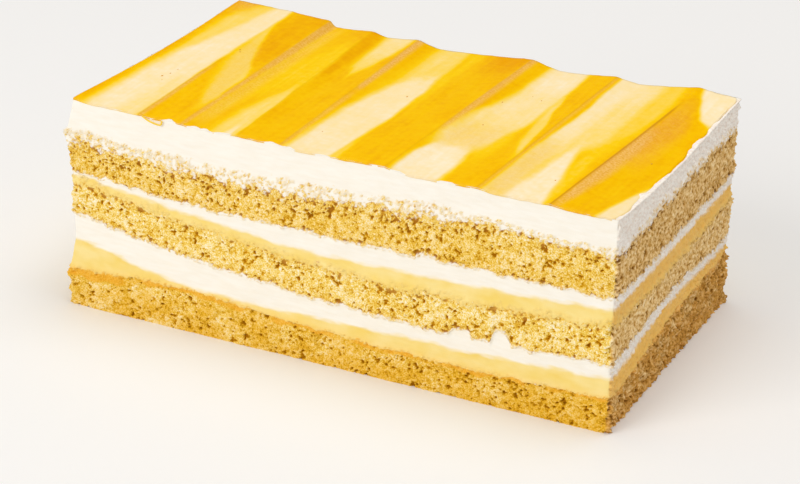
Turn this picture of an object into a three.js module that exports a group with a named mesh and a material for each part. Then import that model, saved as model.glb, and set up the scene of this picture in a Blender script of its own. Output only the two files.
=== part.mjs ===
// A rectangular layer cake, cut on all four sides: three sponges with custard and cream between them,
// a thick cream topping combed into scalloped ridges, and a thin glaze over the ridges.
// Millimetres, +Z up. It stands on z = 0, centred on the origin, its long face towards -Y.

import * as THREE from "three";
import { mergeVertices } from "three/addons/utils/BufferGeometryUtils.js";

const { lerp, seededRandom, smoothstep } = THREE.MathUtils;

// Plan of the cake
const LENGTH = 180;
const WIDTH = 101;
const CORNER_EASE = 0.3; // how far each upright corner is worn back, along X and along Y
const LEFT = -LENGTH / 2;
const FRONT = -WIDTH / 2;

// Touching layers are kept apart by this much
const SEAM = 0.25;

// Each kind of layer: rows of facets up its cut face, how far the face swells out (or sinks in)
// halfway up, and how rough the cut left it
const SPONGE = { rows: 5, swell: 0.2, crag: 0.9, colour: 0xdcb25c, roughness: 0.95 };
const CREAM = { rows: 2, swell: -0.6, crag: 0.2, colour: 0xfaf3e6, roughness: 0.55 };
const CUSTARD = { rows: 2, swell: -0.3, crag: 0.2, colour: 0xf0c873, roughness: 0.5 };

// The layers from the bottom up, with the height of each one's top: at five stations along the front,
// then at the middle and the far edge of the right-hand end. The left end is cut unevenly, so each top
// also has how far it stands out there.
const FRONT_STATIONS = [LEFT, -50, -10, 40, -LEFT];
const END_STATIONS = [FRONT, -10, -FRONT];
const BOTTOM_LEFT_OUT = 1.2;
const LAYERS = [
  {
    name: "sponge_bottom",
    kind: SPONGE,
    front: [12.5, 14.5, 11.8, 10.5, 11.4],
    end: [17.5, 19.0],
    leftOut: 1.2,
  },
  {
    name: "custard_lower",
    kind: CUSTARD,
    front: [23.5, 15.7, 15.0, 15.8, 17.4],
    end: [22.4, 20.8],
    leftOut: 0.2,
  },
  {
    name: "cream_lower",
    kind: CREAM,
    front: [32.2, 25.7, 21.8, 20.3, 22.8],
    end: [26.2, 23.8],
    leftOut: 0.2,
  },
  {
    name: "sponge_middle",
    kind: SPONGE,
    front: [43.6, 37.2, 33.2, 32.4, 35.2],
    end: [35.2, 37.4],
    leftOut: 0.1,
  },
  {
    name: "custard_upper",
    kind: CUSTARD,
    front: [44.5, 39.9, 36.5, 37.2, 39.6],
    end: [40.4, 41.3],
    leftOut: 0.2,
  },
  {
    name: "cream_upper",
    kind: CREAM,
    front: [45.8, 43.1, 42.5, 43.0, 43.2],
    end: [43.6, 44.7],
    leftOut: 0.3,
  },
  {
    name: "sponge_top",
    kind: SPONGE,
    front: [58.0, 55.8, 56.4, 59.0, 57.4],
    end: [60.2, 61.0],
    leftOut: 2.4,
  },
];

// The cream topping
const TOPPING = { rows: 3, swell: -0.3, crag: 0.2, colour: 0xfbf5ea, roughness: 0.5 };

// Crest lines of the scallops, left edge to right edge. Each pair of numbers is for its front and its back
// end: X, height with the glaze, how far the surface falls beyond it, and the width of that steep side.
const CRESTS = [
  { x: [LEFT, LEFT], z: [69.6, 69.6], fall: [0.5, 0], run: [8, 8] },
  { x: [-65.6, -65.5], z: [68.9, 69.3], fall: [0.4, 0.1], run: [4, 5] },
  { x: [-51.3, -51.3], z: [68.7, 68.6], fall: [0.9, 1.7], run: [6, 1.8] },
  { x: [-32, -36], z: [68.9, 67.9], fall: [0.2, 1.3], run: [5, 5] },
  { x: [-18, -19.6], z: [68.6, 68], fall: [0.6, 2], run: [5, 7.5] },
  { x: [16.2, 20.4], z: [69, 68.9], fall: [1.1, 2], run: [6, 10] },
  { x: [45.3, 49.2], z: [68.6, 68.6], fall: [0.6, 1.5], run: [6, 7] },
  { x: [68.1, 76.4], z: [68.3, 70.3], fall: [0.4, 0.2], run: [5, 6] },
  { x: [-LEFT, -LEFT], z: [67.8, 69.2], fall: [0, 0], run: [0, 0] },
];
const FALL_MIDDLE = 0.6; // share of the fall reached halfway across the steep side
const RISE_POWER = 1.5; // the gentle side curves up towards the next crest
const RISE_STEP = 4.3; // widest facet on the gentle side

// The topping leans in at the left end, which bows in between its corners. At the right end it sags in
// the middle, and its far corner drags out into a lip.
const LEAN_FRONT = 0.9;
const LEAN_BACK = 4.2;
const LEAN_BOW = 1.9;
const LEAN_RUN = 24;
const SAG = 2.2;
const SAG_RUN = 26;
const LIP_OUT = 1.2;
const LIP_REACH = 12;

// The glaze is a thin skin that stops just short of the topping's edge
const GLAZE_THICK = 0.6;
const GLAZE_INSET = 0.4;
const GLAZE = { colour: 0xf5c83a, roughness: 0.2 };

const ROWS = 16; // facets from front to back
const FAN_COLUMNS = 10; // columns at each end that a layer's hidden faces close in a fan
const RIM_WANDER = 0.4; // how far the seam between two layers wanders in and out
const SEED = 27;

// A repeatable value between -1 and 1
seededRandom(SEED);
const wander = () => 2 * seededRandom() - 1;

// Columns of facets run from front to back along the crests. Each holds its X and height at both ends.
function scallopColumns() {
  const columns = [];
  for (let k = 0; k + 1 < CRESTS.length; k++) {
    const from = CRESTS[k];
    const to = CRESTS[k + 1];
    // A column some way across the steep side and then the gentle side, and its share of the fall
    const add = (steep, gentle, dip) => {
      const [front, back] = [0, 1].map((end) => {
        const width = to.x[end] - from.x[end];
        const run = from.run[end];
        const across = run * steep + (width - run) * gentle;
        const crest = lerp(from.z[end], to.z[end], across / width);
        return { x: from.x[end] + across, z: crest - from.fall[end] * dip };
      });
      columns.push({ front, back });
    };
    const steps = Math.round((to.x[0] - from.x[0] - from.run[0]) / RISE_STEP);
    add(0, 0, 0);
    add(0.5, 0, FALL_MIDDLE);
    for (let s = 0; s < steps; s++) add(1, s / steps, 1 - (s / steps) ** RISE_POWER);
  }
  const { x, z } = CRESTS[CRESTS.length - 1];
  columns.push({ front: { x: x[0], z: z[0] }, back: { x: x[1], z: z[1] } });
  return columns;
}

const columns = scallopColumns();
const LAST = columns.length - 1;

// Places on the plan: column i from left to right, row j from front to back
function planPoint(i, j) {
  const depth = j / ROWS;
  const sideX = i === 0 ? 1 : i === LAST ? -1 : 0;
  const sideY = j === 0 ? 1 : j === ROWS ? -1 : 0;
  const ease = sideX && sideY ? CORNER_EASE : 0;
  return new THREE.Vector3(
    lerp(columns[i].front.x, columns[i].back.x, depth) + sideX * ease,
    lerp(FRONT, -FRONT, depth) + sideY * ease,
    0,
  );
}

// The rim: places round the edge of the plan, anticlockwise from the front left corner
function rimPlaces() {
  const rim = [];
  for (let i = 0; i < LAST; i++) rim.push({ i, j: 0, out: [i === 0 ? -1 : 0, -1] });
  for (let j = 0; j < ROWS; j++) rim.push({ i: LAST, j, out: [1, j === 0 ? -1 : 0] });
  for (let i = LAST; i > 0; i--) rim.push({ i, j: ROWS, out: [i === LAST ? 1 : 0, 1] });
  for (let j = ROWS; j > 0; j--) rim.push({ i: 0, j, out: [-1, j === ROWS ? 1 : 0] });
  return rim.map(({ i, j, out }) => ({ i, j, out: new THREE.Vector3(...out, 0).normalize() }));
}

const rim = rimPlaces();

// Height of a layer's top at a point of the plan. The front sets it along the length, and the
// right-hand end bends it more and more towards that end.
function layerHeights(layer) {
  const corner = layer.front[layer.front.length - 1];
  const alongFront = new THREE.CubicInterpolant(FRONT_STATIONS, layer.front, 1);
  const alongEnd = new THREE.CubicInterpolant(END_STATIONS, [corner, ...layer.end], 1);
  return (x, y) => {
    const nearness = ((x - LEFT) / LENGTH) ** 2;
    return alongFront.evaluate(x)[0] + (alongEnd.evaluate(y)[0] - corner) * nearness;
  };
}

// The closed line where two layers meet, wandering a little in and out
function seamRing(heightAt, leftOut) {
  return rim.map(({ i, j, out }) => {
    const point = planPoint(i, j);
    point.z = heightAt(point.x, point.y);
    if (i === 0) point.x -= leftOut;
    return point.addScaledVector(out, RIM_WANDER * wander());
  });
}

const raised = (ring, lift) => ring.map((point) => point.clone().setZ(point.z + lift));

// Rings up a cut face between its bottom and top rings, swelling halfway and rough from the knife.
// Hollows in the crumb go deeper than its bumps stand out.
function faceRings(bottom, top, kind) {
  const rings = [bottom];
  for (let row = 1; row < kind.rows; row++) {
    const share = row / kind.rows;
    const swell = kind.swell * 4 * share * (1 - share);
    rings.push(
      bottom.map((low, n) => {
        const rough = wander();
        const crag = kind.crag * (rough > 0 ? rough / 2 : rough);
        return low.clone().lerp(top[n], share).addScaledVector(rim[n].out, swell + crag);
      }),
    );
  }
  rings.push(top);
  return rings;
}

// Triangles of the face between stacked rings
function faceTriangles(rings) {
  const triangles = [];
  for (let row = 0; row + 1 < rings.length; row++) {
    const low = rings[row];
    const high = rings[row + 1];
    low.forEach((point, n) => {
      const next = (n + 1) % low.length;
      triangles.push([point, low[next], high[next]], [point, high[next], high[n]]);
    });
  }
  return triangles;
}

// Triangles that close a ring: strips from front to back, and at each end a fan round a hub.
// They face up.
function capTriangles(ring) {
  const front = (i) => ring[i];
  const back = (i) => ring[2 * LAST + ROWS - i];
  const triangles = [];
  for (let i = FAN_COLUMNS; i < LAST - FAN_COLUMNS; i++) {
    triangles.push([front(i), front(i + 1), back(i + 1)], [front(i), back(i + 1), back(i)]);
  }
  const rightEnd = ring.slice(LAST - FAN_COLUMNS, LAST + ROWS + FAN_COLUMNS + 1);
  const leftEnd = [
    ...ring.slice(2 * LAST + ROWS - FAN_COLUMNS),
    ...ring.slice(0, FAN_COLUMNS + 1),
  ];
  for (const end of [rightEnd, leftEnd]) {
    const hub = new THREE.Vector3();
    end.forEach((point) => hub.addScaledVector(point, 1 / end.length));
    end.forEach((point, n) => triangles.push([hub, point, end[(n + 1) % end.length]]));
  }
  return triangles;
}

// Triangles of a whole surface given by columns and rows of points. They face up.
function gridTriangles(grid) {
  const triangles = [];
  for (let i = 0; i < LAST; i++) {
    for (let j = 0; j < ROWS; j++) {
      const near = grid[i][j];
      const far = grid[i + 1][j + 1];
      triangles.push([near, grid[i + 1][j], far], [near, far, grid[i][j + 1]]);
    }
  }
  return triangles;
}

const facingDown = (triangles) => triangles.map(([a, b, c]) => [a, c, b]);

function solidMesh(name, triangles, { colour, roughness }) {
  const geometry = mergeVertices(new THREE.BufferGeometry().setFromPoints(triangles.flat()));
  geometry.computeVertexNormals();
  const material = new THREE.MeshStandardMaterial({ color: colour, roughness, metalness: 0 });
  const mesh = new THREE.Mesh(geometry, material);
  mesh.name = name;
  return mesh;
}

// A filling or sponge: a slab between two seams
function layerMesh(layer, lowerSeam, upperSeam) {
  const top = raised(upperSeam, -SEAM / 2);
  const face = faceTriangles(faceRings(lowerSeam, top, layer.kind));
  const caps = [...facingDown(capTriangles(lowerSeam)), ...capTriangles(top)];
  return solidMesh(layer.name, [...face, ...caps], layer.kind);
}

// The combed surface, some way below the glaze's top: the crests and scallops, with the lean
// at the left end, and the sag and the lip at the right
function combedGrid(below) {
  const lipCorner = new THREE.Vector2(-LEFT, -FRONT);
  return columns.map((column, i) =>
    Array.from({ length: ROWS + 1 }, (_, j) => {
      const point = planPoint(i, j);
      const depth = j / ROWS;
      const fromLip = lipCorner.distanceTo(new THREE.Vector2(point.x, point.y));
      const lip = 1 - smoothstep(fromLip, 0, LIP_REACH);
      const lean = lerp(LEAN_FRONT, LEAN_BACK, depth) + LEAN_BOW * Math.sin(Math.PI * depth);
      point.x += lean * Math.max(0, 1 - (point.x - LEFT) / LEAN_RUN) + LIP_OUT * lip;
      const sag = SAG * Math.sin(Math.PI * depth) * smoothstep(point.x, -LEFT - SAG_RUN, -LEFT);
      point.z = lerp(column.front.z, column.back.z, depth) - sag - below;
      return point;
    }),
  );
}

const edgeOf = (grid) => rim.map(({ i, j }) => grid[i][j]);

function toppingMesh(lowerSeam) {
  const surface = combedGrid(GLAZE_THICK + SEAM);
  const face = faceTriangles(faceRings(lowerSeam, edgeOf(surface), TOPPING));
  const bottom = facingDown(capTriangles(lowerSeam));
  return solidMesh("cream_topping", [...face, ...bottom, ...gridTriangles(surface)], TOPPING);
}

function glazeMesh() {
  const upper = combedGrid(0);
  const lower = combedGrid(GLAZE_THICK);
  for (const grid of [upper, lower]) {
    rim.forEach(({ i, j, out }) => grid[i][j].addScaledVector(out, -GLAZE_INSET));
  }
  const edge = faceTriangles([edgeOf(lower), edgeOf(upper)]);
  const sheets = [...facingDown(gridTriangles(lower)), ...gridTriangles(upper)];
  return solidMesh("glaze", [...edge, ...sheets], GLAZE);
}

// The cake, from the flat bottom up
const cake = new THREE.Group();
let seam = seamRing(() => 0, BOTTOM_LEFT_OUT);
for (const layer of LAYERS) {
  const nextSeam = seamRing(layerHeights(layer), layer.leftOut);
  cake.add(layerMesh(layer, seam, nextSeam));
  seam = raised(nextSeam, SEAM / 2);
}
cake.add(toppingMesh(seam));
cake.add(glazeMesh());

export default cake;
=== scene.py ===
"""Looks for a slab of layered pumpkin cake, cut on all four sides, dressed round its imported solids.

Sizes are in millimetres up to the point where a mesh or a node tree is made, which Blender keeps in metres.
"""

import math
from collections import namedtuple

import bmesh
import bpy
import numpy as np
from mathutils import Matrix, Vector, noise
from mathutils.bvhtree import BVHTree


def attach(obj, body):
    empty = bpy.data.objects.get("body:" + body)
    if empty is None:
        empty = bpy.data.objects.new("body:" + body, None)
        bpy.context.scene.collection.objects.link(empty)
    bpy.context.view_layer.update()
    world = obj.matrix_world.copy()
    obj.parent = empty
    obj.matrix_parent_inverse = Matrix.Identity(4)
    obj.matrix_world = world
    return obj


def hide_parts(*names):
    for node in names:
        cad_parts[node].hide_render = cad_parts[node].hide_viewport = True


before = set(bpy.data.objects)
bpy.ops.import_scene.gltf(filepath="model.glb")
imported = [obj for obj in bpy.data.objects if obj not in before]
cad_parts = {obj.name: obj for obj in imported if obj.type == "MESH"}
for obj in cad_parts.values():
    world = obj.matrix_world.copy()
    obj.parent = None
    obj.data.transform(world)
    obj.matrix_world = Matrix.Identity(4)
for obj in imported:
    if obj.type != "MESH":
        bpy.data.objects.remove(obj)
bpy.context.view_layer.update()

MM = 0.001

# Plan of the cake, as in the solids
LENGTH = 180
WIDTH = 101
CORNER = 1.4
STEP = 0.34  # spacing of the points round the cut faces
FRONT, RIGHT, BACK = range(3)

# The layers from the bottom up: CAD node, finished piece, what it is made of, rows of faces up its cut side
Layer = namedtuple("Layer", "node piece kind rows")
LAYERS = [
    Layer("sponge_bottom", "bottom_sponge", "sponge", 48),
    Layer("custard_lower", "lower_custard", "custard", 24),
    Layer("cream_lower", "lower_cream", "cream", 24),
    Layer("sponge_middle", "middle_sponge", "sponge", 42),
    Layer("custard_upper", "upper_custard", "custard", 16),
    Layer("cream_upper", "upper_cream", "cream", 18),
    Layer("sponge_top", "top_sponge", "sponge", 52),
    Layer("cream_topping", "topping_cream", "cream", 36),
]

# One wave of unevenness: its height or strength, its size or its size along each axis, and its seed
Wave = namedtuple("Wave", "height size seed")

# Where crumb and filling meet on a cut face, filling is smeared into the crumb's pores and crumbs stick out
# of the filling: how far each way, how soft their edges are, how much a thin coat of filling pales the crumb,
# and how far the smear is shifted into the sponge, as a share of its run
Mix = namedtuple("Mix", "in_sponge in_filling softness coating shift")
CREAM_MIX = Mix(0.8, 0.6, 0.1, 0.2, 0.0)
CUSTARD_MIX = Mix(1.8, 0.9, 0.2, 0.45, 0.0)
CRUST_MIX = Mix(0.5, 0.5, 0.2, 0.2, 0.0)
TOPPING_MIX = Mix(3.4, 1.9, 0.08, 0.12, 0.25)
MIX_WAVE = Wave(0.5, 13.0, 3)  # how these runs vary along a seam
MIX_APART = 9.0  # and how far apart the seams read it
TOPPING_TAPER = ((-LENGTH / 2, 20, LENGTH / 2), (1.3, 0.9, 0.6))  # X, and the share of its run there
SCATTER_SHARE = 0.45  # loose crumbs lie within this share of the run in the filling
ALL_SPONGE = -9.0  # cover away from any seam
ALL_FILLING = 9.0
RECESS = 0.5  # fillings are pressed back behind the sponge
RECESS_RUN = 0.9
CLOUD = 0.9  # cream and custard cloud into each other over this run, in swirls
SWIRL_WAVES = [Wave(0.8, (7.0, 7.0, 1.6), 4), Wave(0.48, (2.4, 2.4, 0.9), 5)]

# How uneven the seams are: waves against sponge and between fillings, ripples as a share of the waves, teeth
# of cream under sponge, and places at the front where cream was pushed up into the sponge, as seam, X, half
# width and rise
SEAM_WAVES = 0.55
CLOUD_WAVES = 0.22
WAVE_SIZE = 7.0
RIPPLES = 0.8
RIPPLE_SIZE = 2.6
RIPPLE_SEED = 20
TEETH = 0.3
TOOTH_SIZE = 2.2
TOOTH_STEEPNESS = 3
TOOTH_SEED = 30
SEAM_APART = 40.0  # how far apart the seams read their waves
Push = namedtuple("Push", "seam x width rise")
PUSHES = [Push(3, 55, 2.7, 4.4), Push(3, 42.5, 3.4, 2.2), Push(3, -20, 3.0, 0.8), Push(6, 30, 3.0, 0.7)]
PUSH_SQUARENESS = 6

# How toasted each sponge is all through, and the baked skin on top of the bottom one
TOAST = {"sponge_bottom": 0.62, "sponge_middle": 0.06, "sponge_top": 0.24}
TOAST_SPREAD = 0.25  # more at the bottom of a sponge, less at its top
TOAST_PATCHES = Wave(0.4, (6.0, 6.0, 4.0), 11)  # in the bottom sponge
TOAST_RIGHT = 0.3  # and more to its right
MOST_TOAST = 0.8  # from here to 1 is skin
SKIN_THICK = 2.5
SKIN_SHARE = 0.9  # of that thickness, with waves on it
SKIN_WAVES = [Wave(0.5, 14.0, 8), Wave(0.5, 4.0, 9)]
SKIN_TAPER = ((-LENGTH / 2, -LENGTH / 4, LENGTH / 2), (1.5, 1.0, 0.8))  # X, and how thick it is there
SKIN_FADE = 0.8
SKIN_BROWN = 0.94
SKIN_PATCHES = Wave(-0.4, 9.0, 10)  # how its browning varies along its length
CRUST_STAIN = 1.1  # how far the skin warms the custard over it
CRUST_RICHNESS = 0.4  # and how much

# The right-hand end was cut with a rougher drag: how rough fillings are elsewhere and there, and how torn the
# crumb is there, in the bottom sponge more than in the others, and at the corners
END_FACING = (0.3, 0.8)
FILLING_ROUGH = 0.05
END_ROUGH = 1.4
TORN_END = 0.55
TORN_BOTTOM = 2.2
TORN_CORNER = 0.9
TORN_RUN = 3.0

# The topping's edge: how far the glaze stops short of the front, right, back and left edges, and lumps of
# cream that lap over the front of it, as X, half width and reach
EDGE_STOPS = (0.4, 1.3, 0.5, 0.2)
LEAST_STOP = 0.1
EDGE_WAVES = [Wave(0.3, 6.0, 41), Wave(0.2, 2.4, 42)]
RIGHT_WAVES = [Wave(0.9, 14.0, 43)]  # it wanders most along the right-hand edge
SIDE_APART = 30.0  # how far apart the sides read these waves
Lump = namedtuple("Lump", "x width reach")
CREAM_LUMPS = [Lump(-55.3, 1.5, 1.3), Lump(-46.6, 1.8, 1.3), Lump(-43.3, 1.5, 1.3), Lump(-37, 3.0, 0.5)]
CREAM_LUMPS += [Lump(-21, 2.0, 0.9), Lump(-15, 1.6, 0.8), Lump(-5, 2.6, 0.5), Lump(21, 2.0, 0.7)]
CREAM_LUMPS += [Lump(36, 2.4, 0.5)]

# The topping's lip: how far it lies under the glaze, how far it rises beside it and more where the glaze
# stops further in, how it eases from one to the other, how its edge is rounded, and the rings of points over
# it, as how far in they are and how far they sink where the glaze hides them
LIP_UNDER = 0.65
LIP_RISE = 0.5
LIP_SWELL = 0.25
LIP_EASE = (-0.2, 0.5)
LIP_ROUND = 0.35
LIP_ROUND_RUN = 0.5
LIP_CUT = 1.6  # its cut side follows the solids at this depth
LIP_RINGS = [(0.25, 0), (0.6, 0), (1.0, 0), (1.4, 0), (2.0, 0.1), (3.0, 0.3), (6.0, 1.2), (16.0, 4.0)]

# Crest lines of the combed topping, left edge to right edge: X at the front and at the back edge, how dark
# the painted shade along its steep right side is, and the Y where that painted shade ends
Crest = namedtuple("Crest", "front back line line_end")
CRESTS = [
    Crest(-90, -90, 0.0, 60),
    Crest(-65.6, -65.5, 0.3, 4),
    Crest(-51.3, -51.3, 0.12, 60),
    Crest(-32, -36, 0.15, 60),
    Crest(-18, -19.6, 0.18, 60),
    Crest(16.2, 20.4, 0.2, 60),
    Crest(45.3, 49.2, 0.28, 60),
    Crest(68.1, 76.4, 0.85, 36),
    Crest(90, 90, 0.0, 60),
]
# The painted shade along a crest's steep right side: its width, how far right of the crest it lies, and how
# it fades round its end
LINE_WIDTH = 0.55
LINE_SHIFT = 0.1
LINE_FADE = (-8, 4)

# Strokes of glaze over its thick yellow: a tone, from 0 for bare cream to 1 for the thickest glaze, how soft
# the left and the right side are, and stations from front to back, as Y and the X of the two sides
Stroke = namedtuple("Stroke", "tone soft stations")
FULL_TONE = 0.84
STROKES = [
    Stroke(0.88, (1.0, 2.0), [(-60, -92, -86.5), (-20, -90, -84.5), (0, -88, -83.2), (60, -88, -82)]),
    Stroke(
        0.14,
        (3.0, 1.0),
        [(-60, -85, -66.4), (-25, -83, -66.2), (0, -81.4, -65.8), (22, -78, -65.6), (60, -70, -65)],
    ),
    Stroke(0.27, (3.0, 1.0), [(-60, -74, -66.4), (-15, -70, -66.2)]),
    Stroke(0.42, (2.5, 3.5), [(8, -82, -78), (30, -81.5, -74.5), (60, -80, -71)]),
    Stroke(0.98, (2.5, 3.0), [(44, -86, -77), (60, -86, -75)]),
    Stroke(0.92, (3.0, 0.8), [(5, -57, -52), (25, -62, -51.6), (60, -64, -51.6)]),
    Stroke(
        0.44,
        (2.6, 1.0),
        [(-34, -54.5, -52), (-10, -60.5, -51.9), (0, -62.8, -54.2), (12, -64.6, -59), (34, -65.5, -64.4)],
    ),
    Stroke(0.70, (0.8, 3.5), [(-42, -50.5, -45), (50, -49.5, -44.5)]),
    Stroke(0.68, (3.5, 1.0), [(-14, -46, -33.2), (15, -45.5, -34.2), (34, -42, -35.4)]),
    Stroke(0.40, (3.0, 0.8), [(-60, -42, -32.4), (-30, -40.8, -32.8), (-18, -38.4, -33.4), (-6, -36, -34.4)]),
    Stroke(0.12, (0.9, 0.7), [(-56, -37.8, -34), (-45, -36.5, -34.8)]),
    Stroke(0.94, (0.6, 3.0), [(8, -34, -31), (60, -36, -32.5)]),
    Stroke(0.42, (1.8, 1.6), [(12, -26.6, -25.6), (24, -28.6, -22.8), (60, -31.5, -20.4)]),
    Stroke(0.28, (2.5, 1.2), [(26, -28.5, -22.4), (60, -30.5, -20.6)]),
    Stroke(0.40, (3.5, 2.0), [(2, -13, 1), (30, -11.5, 0), (60, -11.5, -1)]),
    Stroke(
        0.16,
        (1.8, 1.0),
        [(-60, -17, -2), (-20, -15.5, 0.4), (0, -13.6, 1.2), (12, -11, 0.6), (24, -8, -1)],
    ),
    Stroke(0.70, (0.9, 2.4), [(-2, 1, 3.4), (60, 0.5, 4.5)]),
    Stroke(0.55, (0.9, 0.9), [(-60, -2, 0.5), (-35, -0.5, 1)]),
    Stroke(1.00, (5.0, 2.0), [(38, 8, 20), (60, 5, 21)]),
    Stroke(
        0.33,
        (2.0, 1.6),
        [(-24, 18.5, 35), (-8, 20, 38), (6, 22, 39.8), (20, 25.5, 40), (60, 28.5, 39.5)],
    ),
    Stroke(0.24, (2.5, 2.0), [(0, 22, 39), (20, 26, 39.6), (60, 29, 39.4)]),
    Stroke(0.13, (2.2, 1.2), [(28, 28, 39.2), (60, 29.4, 39.2)]),
    Stroke(0.10, (1.0, 1.6), [(-60, 17.2, 33.5), (-34, 18.2, 33), (-22, 21.5, 32)]),
    Stroke(0.66, (1.2, 3.0), [(-30, 34, 38), (-10, 37, 40)]),
    Stroke(
        0.40,
        (1.4, 0.7),
        [(-24, 45, 46.2), (-12, 42.8, 45.6), (2, 41.2, 44.6), (14, 40.4, 42.4), (26, 40, 41)],
    ),
    Stroke(0.34, (1.5, 4.0), [(-18, 49, 60), (0, 50, 66), (20, 51, 68), (60, 52, 67.5)]),
    Stroke(0.24, (1.5, 4.0), [(30, 51, 64), (60, 52, 66)]),
    Stroke(0.35, (1.0, 3.0), [(-60, 46.6, 53), (-25, 47.6, 56), (-4, 49, 56)]),
    Stroke(0.16, (0.8, 3.0), [(-4, 49, 54), (20, 50.4, 56.5), (60, 50.8, 58)]),
    Stroke(0.55, (3.0, 2.4), [(4, 66, 71), (25, 67, 73.5), (60, 67, 72.5)]),
    Stroke(0.66, (1.5, 2.0), [(-60, 65.5, 67.2), (-20, 63, 68), (0, 66, 70.5)]),
    Stroke(0.10, (2.0, 1.1), [(-60, 52, 66.6), (-30, 55.6, 63.6), (-18, 57.4, 61.8), (-8, 59, 60.4)]),
    Stroke(0.94, (1.0, 4.0), [(-6, 73, 78), (20, 75, 82), (36, 76, 81)]),
    Stroke(0.11, (1.2, 0.8), [(25, 87.5, 95), (30, 84, 95), (45, 78.8, 95), (60, 77.3, 95)]),
    Stroke(0.17, (1.2, 0.8), [(-60, 80.5, 95), (-35, 84.5, 95), (-18, 89.5, 95)]),
]

# Where the glaze is tan, as strokes of a strength: on the steep side of the crests, and where it dried thin
TAN_STROKES = [
    Stroke(0.40, (2.0, 2.5), [(44, -84, -77), (60, -85, -76)]),
    Stroke(0.55, (0.5, 0.9), [(-60, -65.8, -64.2), (-6, -65.6, -64.6)]),
    Stroke(0.20, (2.0, 1.2), [(-32, -55, -51.8), (0, -62, -54.5), (20, -64.5, -61)]),
    Stroke(0.55, (0.4, 0.9), [(-60, -51.3, -50.2), (0, -51.3, -49.8)]),
    Stroke(0.65, (0.4, 1.0), [(0, -51.3, -49.6), (60, -51.5, -48.8)]),
    Stroke(0.30, (1.5, 3.0), [(-42, -50, -46), (45, -49, -45.5)]),
    Stroke(0.40, (0.4, 0.8), [(-60, -18, -17), (-4, -18.7, -17.2)]),
    Stroke(0.80, (0.4, 1.0), [(2, -18.8, -17.2), (60, -19.8, -17.6)]),
    Stroke(0.65, (0.4, 1.0), [(-16, 18, 19.2), (0, 18.3, 20.2), (60, 20.6, 22.4)]),
    Stroke(0.22, (3.0, 3.0), [(-22, 20, 34), (-6, 22, 36)]),
    Stroke(0.30, (0.3, 0.6), [(-60, 45.2, 46), (60, 49.5, 50.4)]),
    Stroke(0.25, (1.2, 3.0), [(-60, 47, 53), (-10, 49, 55)]),
    Stroke(0.75, (0.5, 2.6), [(-48, 69, 71), (-20, 70.8, 75), (0, 72.4, 76.4), (14, 73.6, 77)]),
    Stroke(0.22, (1.0, 4.0), [(-10, 72, 80), (20, 75, 82), (34, 76, 80)]),
]
EDGE_TAN = 0.1
EDGE_TAN_FADE = (0.3, 1.6)

# How the strokes are laid: the softest side as a share of the stroke's width, how soft its ends are, how it
# wanders across and along, how little the tan ones do, and streaks of thicker and thinner glaze
SOFTEST = 0.45
STROKE_END = 3.0
STROKE_END_SOFTNESS = 2.0
BRUSH_ACROSS = [Wave(0.6, (5.0, 20.0, 5.0), 31), Wave(0.35, (1.6, 7.0, 2.0), 32)]
BRUSH_ALONG = [Wave(3.0, (4.0, 12.0, 5.0), 33)]
TAN_BRUSH = 0.3
STREAKS = [Wave(0.05, (1.1, 20.0, 3.0), 34), Wave(0.05, (7.0, 11.0, 3.0), 35)]

# Specks in the glaze, as places of the plan, and a dribble of it down the front, as X and Z
SPECKS = [(-73, -13), (-73.4, -17), (-74.6, -20), (-73, -23), (-63.4, 10), (-64.2, 11.4), (31, 25)]
SPECKS += [(35, 22.5), (25, 15), (-12.5, -33), (27, -4), (-2.5, 5), (46, 8), (63, -34), (82, -6), (-79, 46)]
SPECK_SIZES = (0.182, 0.247, 0.312)
SPECK_LENGTH = 1.5  # as shares of its size
SPECK_HEIGHT = 0.25
DRIBBLE = [(-64.2, 68.6), (-62.6, 67.6), (-60.4, 67.0), (-58.2, 66.7), (-57.5, 67.2), (-57.4, 68.2)]
DRIBBLE_THICK = 0.26

# Glaze sheet: its grid, its thickness, how far in its left edge leans and its right one is dragged, how soon
# its front and back edges' wandering dies out, its fine waves, and the weights that soften its columns
GLAZE_COLUMN = 0.5
GLAZE_ROWS = 132
GLAZE_THICK = 0.6
LEAN_RUN = 24
DRAG_RUN = 14
END_CLEAR = 3  # the solid's own corners are left out of the ends read from it
EDGE_FADE = 8
GLAZE_WAVES = [Wave(0.10, (3.2, 24.0, 3.0), 51), Wave(0.05, (1.4, 8.0, 3.0), 52)]
SOFTENING = np.array([1, 2, 3, 2, 1]) / 9

SEED = 27

# Kinds of node, settings that many of them share, and the inputs of a mix of colours and of numbers
MATH = "ShaderNodeMath"
VECTORS = "ShaderNodeVectorMath"
NOISE = "ShaderNodeTexNoise"
CELLS = "ShaderNodeTexVoronoi"
RANGE = "ShaderNodeMapRange"
MIX = "ShaderNodeMix"
RAMP = "ShaderNodeValToRGB"
STORED = "GeometryNodeInputNamedAttribute"
ATTRIBUTE = "ShaderNodeAttribute"
PLUS = {"operation": "ADD"}
MINUS = {"operation": "SUBTRACT"}
TIMES = {"operation": "MULTIPLY"}
TIMES_PLUS = {"operation": "MULTIPLY_ADD"}
OVER = {"operation": "DIVIDE"}
SCALED = {"operation": "SCALE"}
EASED = {"interpolation_type": "SMOOTHSTEP"}
NUMBERS = {"data_type": "FLOAT"}
DIRECTIONS = {"data_type": "FLOAT_VECTOR"}
COLOURS = {"data_type": "RGBA"}
SHARE, FROM_NUMBER, TO_NUMBER, FROM, TO = 0, 2, 3, 6, 7

# Camera, from the photograph
IMAGE_WIDTH = 800
FOCAL_PIXELS = 2869.7
SENSOR = 36.0
CAMERA_PLACE = (338.0, -740.3, 397.5)
CAMERA_AZIMUTH = 24.61
CAMERA_ELEVATION = 24.84
CAMERA_ROLL = 1.78
FARTHEST = 20  # metres

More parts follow.
